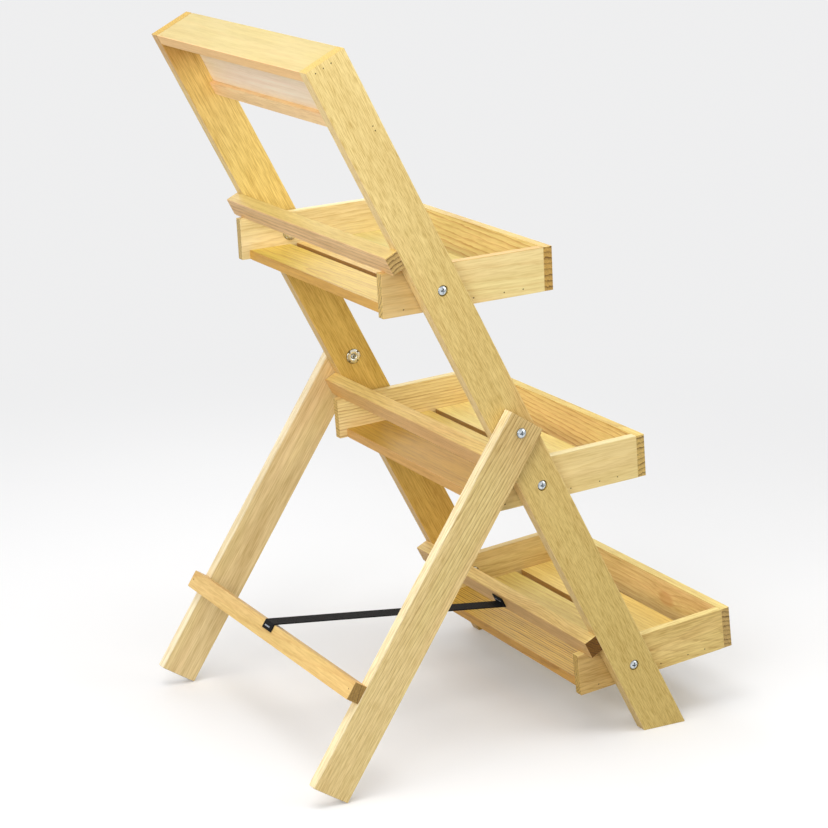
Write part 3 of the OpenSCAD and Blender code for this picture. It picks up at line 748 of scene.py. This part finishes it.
# Rings of painted shade on the plating. A bolt: in its recess and round the rim of its head. A nut: in its hole
# and round its flange's rim.
BOLT_SHADE_RINGS = ((0.6, 2.0, 0.3, 1.0), (2.8, 4.7, 1.0, 0.45))
NUT_SHADE_RINGS = ((2.4, 3.2, 0.12, 1.0), (5.6, 6.6, 1.0, 0.8))


def recess(x, y):
    """Depth of the cross recess in a bolt's head."""
    deepest = 0.0
    for a, b in ((abs(x), abs(y)), (abs(y), abs(x))):
        wall = smooth((0.78 - 0.08 * a - b) / 0.16) * smooth((RECESS_R - a) / 0.3)
        deepest = max(deepest, wall * (RECESS_TIPS + RECESS_CORE * max(0.0, 1 - a / RECESS_R)))
    return deepest


def circle(around, radius, height):
    """A ring of points about Z. radius is a number, or gives the radius at each point's number."""
    row = []
    for k in range(around):
        r, turn = radius(k) if callable(radius) else radius, math.tau * k / around
        row.append((r * math.cos(turn), r * math.sin(turn), height))
    return row


def bolt_rows(length):
    """Rings of a pan-head bolt, from the tip of its shank to the top of its head. Its seat is at z = 0."""
    around = 96
    dome_r = (HEAD_R**2 + DOME_H**2) / (2 * DOME_H)
    outline = [(0.9, -length), (1.9, -length), (2.2, -length + 0.35)]
    z = -length + 0.5
    while z < -length + THREAD_LONG:
        outline += [(2.18, z), (THREAD_R, z + 0.36), (THREAD_R, z + 0.44)]
        z += THREAD_STEP
    outline += [(THREAD_R, z), (THREAD_R, 0.0), (4.4, 0.0), (4.66, 0.1), (HEAD_R - 0.02, 0.32)]
    outline += [(HEAD_R - 0.02, 0.9), (4.68, 1.25), (4.5, 1.55)]
    rows = [circle(around, r, height) for r, height in outline]
    steps = 44
    for step in range(steps + 1):
        r = 4.3 * (1 - step / steps) + 0.02
        top = HEAD_H - 0.02 - (dome_r - math.sqrt(dome_r**2 - r * r))
        rows.append([(x, y, height - recess(x, y)) for x, y, height in circle(around, r, top)])
    return rows


def nut_rows():
    """Rings of a tee nut whose flange has four notches, from the barrel's foot up its outer side, over the
    flange and down the thread. It points out of the wood, whose face is at z = 0."""
    around = 120

    def flange(inset):
        def radius(k):
            turn = (360 * k / around) % 90
            return (NOTCH_R if 36 < turn < 54 else FLANGE_R) + inset

        return radius

    outline = [(BARREL_R, -NUT_H), (BARREL_R, -0.5), (3.7, 0.0), (flange(0), 0.0), (flange(0), 0.85)]
    outline += [(flange(-0.1), 1.08), (flange(-0.32), FLANGE_H), (3.9, FLANGE_H), (3.4, 1.12), (2.85, 0.8)]
    z = 0.6
    while z > -6.6:
        outline += [(2.78, z), (2.52, z - 0.4)]
        z -= THREAD_STEP
    outline.append((2.7, -NUT_H))
    return [circle(around, r, height) for r, height in outline]


def prongs():
    """Points and faces of a tee nut's four prongs, which taper into the wood below its flange."""
    verts, faces = [], []
    for k in range(4):
        turn = math.radians(45 + 90 * k)
        out, side = Vector((math.cos(turn), math.sin(turn), 0)), Vector((-math.sin(turn), math.cos(turn), 0))
        first = len(verts)
        for half, place in ((1.2, out * 6.2), (0.25, out * 5.9 - Vector((0, 0, 5)))):
            for a, b in ((-1, -0.35), (1, -0.35), (1, 0.35), (-1, 0.35)):
                verts.append(tuple(place + side * half * a + out * b))
        for j in range(4):
            faces.append((first + j, first + (j + 1) % 4, first + 4 + (j + 1) % 4, first + 4 + j))
        faces += [(first + 3, first + 2, first + 1, first), (first + 4, first + 5, first + 6, first + 7)]
    return verts, faces


def hardware(name, node, material, fasteners):
    """One piece from a pair of bolts or nuts. fasteners holds, for each, the middle of its seat, the way that
    it points, and its points and faces."""
    verts, faces = [], []
    for seat, direction, (points, sides) in fasteners:
        turn = Vector((0, 0, 1)).rotation_difference(direction).to_matrix()
        first = len(verts)
        verts += [tuple(turn @ (Vector(p) * MM) + seat) for p in points]
        faces += [tuple(first + k for k in side) for side in sides]
    mesh = bpy.data.meshes.new(name)
    mesh.from_pydata(verts, [], faces)
    shape = bmesh.new()
    shape.from_mesh(mesh)
    bmesh.ops.recalc_face_normals(shape, faces=shape.faces)
    shade_smooth(shape, sharp_from=0.75)
    shape.to_mesh(mesh)
    shape.free()
    stand_for(put_in_scene(name, mesh), node, material)


def tee_nut():
    points, sides = skin(nut_rows(), capped=False)
    pins, pin_sides = prongs()
    return points + pins, sides + [tuple(len(points) + k for k in side) for side in pin_sides]


def make_fasteners():
    for body in ("leg", "tray_1", "tray_2", "tray_3"):
        pivot = PIVOTS[body + "_fold"]
        head_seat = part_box(body + "_bolts")[1].x - HEAD_H * MM
        flange = min(abs(v.co.x) for v in nodes[body + "_tee_nuts"].data.vertices)
        bolts, nuts = [], []
        for way in (-X, X):
            bolt = skin(bolt_rows((head_seat - flange) / MM), capped=True)
            bolts.append((pivot + way * head_seat, way, bolt))
            nuts.append((pivot + way * (flange + FLANGE_H * MM), -way, tee_nut()))
        bolt_look = (lin(214, 221, 225), 0.24, 0.5, 1.0, pivot, BOLT_SHADE_RINGS)
        nut_look = (lin(244, 244, 232), 0.28, 0.9, 1.0, pivot, NUT_SHADE_RINGS)
        for pieces, node, fasteners, look in (
            ("_pan_heads", "_bolts", bolts, bolt_look), ("_pronged_nuts", "_tee_nuts", nuts, nut_look),
        ):
            hardware(body + pieces, body + node, zinc("plating_" + body + node, *look), fasteners)

    wire = zinc("nail_wire", lin(52, 44, 36), 0.55, 0.9, metallic=0.5)
    for node in nodes:
        if node.endswith("nails"):
            nodes[node].data.materials.clear()
            nodes[node].data.materials.append(wire)
    plating = zinc("zinc_plating", lin(182, 187, 194), 0.3, 0.5)
    for staple in ("front_staple", "rear_staple"):
        eased(staple, plating, radius=0.2, shortest=0.5, segments=2)


make_fasteners()

# ---------- check strap ----------

STRAP_WIDE, HALF_THICK = 20 * MM, 0.62 * MM
LAID_UP, LAID_DOWN = 11 * MM, 8 * MM  # how far it lies on the stop bar and on the crossbar
# Its section: places across and through it in mm, with bound edges a little thicker than the middle
UPPER_SIDE = [(-9.8, 0.4), (-9.3, 0.58), *((x, 0.5) for x in range(-8, 9)), (9.3, 0.58), (9.8, 0.4)]
LOWER_SIDE = [(9.8, -0.4), (9.3, -0.56), *((x, -0.5) for x in range(8, -9, -1)), (-9.3, -0.56), (-9.8, -0.4)]
SECTION = [(-10, 0), *UPPER_SIDE, (10, 0), *LOWER_SIDE]


def strap_line():
    """Middle line of the webbing in the plane X = 0, as points with the way that its outer face looks."""
    span = (STRAP_TURNS - STRAP_LEAVES).normalized()
    span_out = Vector((0, -span.z, span.y))
    top, end = STRAP_LEAVES + UP_RAIL * LAID_UP, STRAP_TURNS + DOWN_LEG * LAID_DOWN
    bend = STRAP_LEAVES + UP_RAIL * 1.8 * MM
    line = [(top.lerp(bend, k / 7) + BEHIND_RAIL * HALF_THICK, BEHIND_RAIL) for k in range(8)]
    corner_from, corner_to = line[-1][0], STRAP_LEAVES + span * 2.2 * MM + span_out * HALF_THICK
    pull = STRAP_LEAVES + (BEHIND_RAIL + span_out) * HALF_THICK * 0.6
    for k in range(1, 8):
        s = k / 8
        place = corner_from.lerp(pull, s).lerp(pull.lerp(corner_to, s), s)
        line.append((place, BEHIND_RAIL.lerp(span_out, smooth(s)).normalized()))
    far = STRAP_TURNS + span_out * HALF_THICK
    line += [(corner_to.lerp(far, k / 90), span_out) for k in range(91)]
    for k in range(1, 8):
        out = span_out.slerp(BEHIND_LEG, k / 8)
        line.append((STRAP_TURNS + out * HALF_THICK, out))
    line += [(STRAP_TURNS.lerp(end, k / 6) + BEHIND_LEG * HALF_THICK, BEHIND_LEG) for k in range(7)]
    return line


def make_strap():
    line, rows, flat, gone = strap_line(), [], [], 0.0
    for k, (place, out) in enumerate(line):
        if k:
            gone += (place - line[k - 1][0]).length
        rows.append([tuple(place + X * x * MM + out * z * MM) for x, z in SECTION])
        flat += [((x + 10) / 20, gone / STRAP_WIDE) for x, _ in SECTION]
    verts, faces = skin(rows, capped=True)
    mesh = bpy.data.meshes.new("strap_webbing")
    mesh.from_pydata(verts, [], faces)
    layer = mesh.uv_layers.new(name="UVMap")
    for loop in mesh.loops:
        layer.data[loop.index].uv = flat[loop.vertex_index]
    shape = bmesh.new()
    shape.from_mesh(mesh)
    bmesh.ops.recalc_face_normals(shape, faces=shape.faces)
    for face in shape.faces:
        face.smooth = len(face.verts) == 4
    shape.to_mesh(mesh)
    shape.free()
    strap = put_in_scene("strap_webbing", mesh)
    mesh.materials.append(webbing("black_webbing"))
    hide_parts("check_strap")
    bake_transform(strap)


make_strap()

# ---------- floor, world and lamps ----------

BACKDROP = (0.86, 0.86, 0.865, 1)
FLOOR_HALF, FLOOR_DROP = 30, 0.0003  # the floor lies a hair below the feet, so the two don't flicker
WORLD_COLOUR, WORLD_STRENGTH = (0.8, 0.8, 0.8, 1), 0.5
LADDER_MIDDLE = Vector((0, 0, 0.35))
# Soft round lamps: place, diameter in metres and power in watts
LAMPS = {
    "key": ((-1.45, 1.3, 1.1), 1.0, 16),
    "window": ((-0.5, 2.2, 1.0), 1.4, 11),
    "ceiling": ((-0.3, 0.5, 2.2), 1.6, 23),
    "front": ((-1.2, -1.7, 1.2), 1.4, 11),
    "far": ((1.7, -0.3, 1.3), 1.4, 8),
}


def seen_directly(t):
    """1 for rays from the camera and from gloss or glass, 0 for the rest."""
    path = t.new("ShaderNodeLightPath").outputs
    camera_or_gloss = t.math("MAXIMUM", path["Is Camera Ray"], path["Is Glossy Ray"])
    return t.math("MAXIMUM", camera_or_gloss, path["Is Transmission Ray"])


def make_floor():
    """A pale floor that fades into the backdrop away from the ladder. For the light that it throws back on the
    ladder it is a plain grey."""
    h = FLOOR_HALF
    mesh = bpy.data.meshes.new("floor")
    mesh.from_pydata([(-h, -h, 0), (h, -h, 0), (h, h, 0), (-h, h, 0)], [], [(0, 1, 2, 3)])
    floor = put_in_scene("floor", mesh)
    floor.location.z = -FLOOR_DROP
    t = Tree(bpy.data.materials.new("pale_floor"))
    cloud = t.noise(t.coords["Object"], detail=3, scale=1.5)[0]
    colour = t.mix(cloud, lin(228, 228, 229), lin(234, 234, 234))
    plain = t.new("ShaderNodeBsdfDiffuse", {"Color": colour}).outputs[0]
    lift = t.new("ShaderNodeEmission", {"Color": BACKDROP, "Strength": 0.16}).outputs[0]
    near = t.new("ShaderNodeAddShader", {0: plain, 1: lift}).outputs[0]
    beyond = t.new("ShaderNodeEmission", {"Color": BACKDROP, "Strength": 1.0}).outputs[0]
    far = t.span(t.vector("LENGTH", t.coords["Object"]), 0.5, 1.5)
    seen = t.new("ShaderNodeMixShader", {0: far, 1: near, 2: beyond}).outputs[0]
    bounce = t.new("ShaderNodeBsdfDiffuse", {"Color": lin(182, 182, 184)}).outputs[0]
    t.output(t.new("ShaderNodeMixShader", {0: seen_directly(t), 1: bounce, 2: seen}).outputs[0])
    mesh.materials.append(t.owner)


def make_world():
    """Even light all round, which shows as the backdrop."""
    world = bpy.data.worlds.new("studio")
    bpy.context.scene.world = world
    t = Tree(world)
    soft = t.new("ShaderNodeBackground", {"Color": WORLD_COLOUR, "Strength": WORLD_STRENGTH}).outputs[0]
    seen = t.new("ShaderNodeBackground", {"Color": BACKDROP}).outputs[0]
    both = t.new("ShaderNodeMixShader", {0: seen_directly(t), 1: soft, 2: seen}).outputs[0]
    t.output(both, kind="ShaderNodeOutputWorld")


def make_lamp(name, place, diameter, power):
    data = bpy.data.lights.new(name, "AREA")
    data.shape, data.size, data.energy = "DISK", diameter, power
    lamp = put_in_scene(name, data)
    lamp.location = place
    lamp.rotation_euler = (LADDER_MIDDLE - Vector(place)).to_track_quat("-Z", "Y").to_euler()
    lamp.visible_camera = False


make_floor()
make_world()
for lamp_name, lamp_settings in LAMPS.items():
    make_lamp(lamp_name, *lamp_settings)

bpy.context.scene.view_settings.view_transform = "Standard"
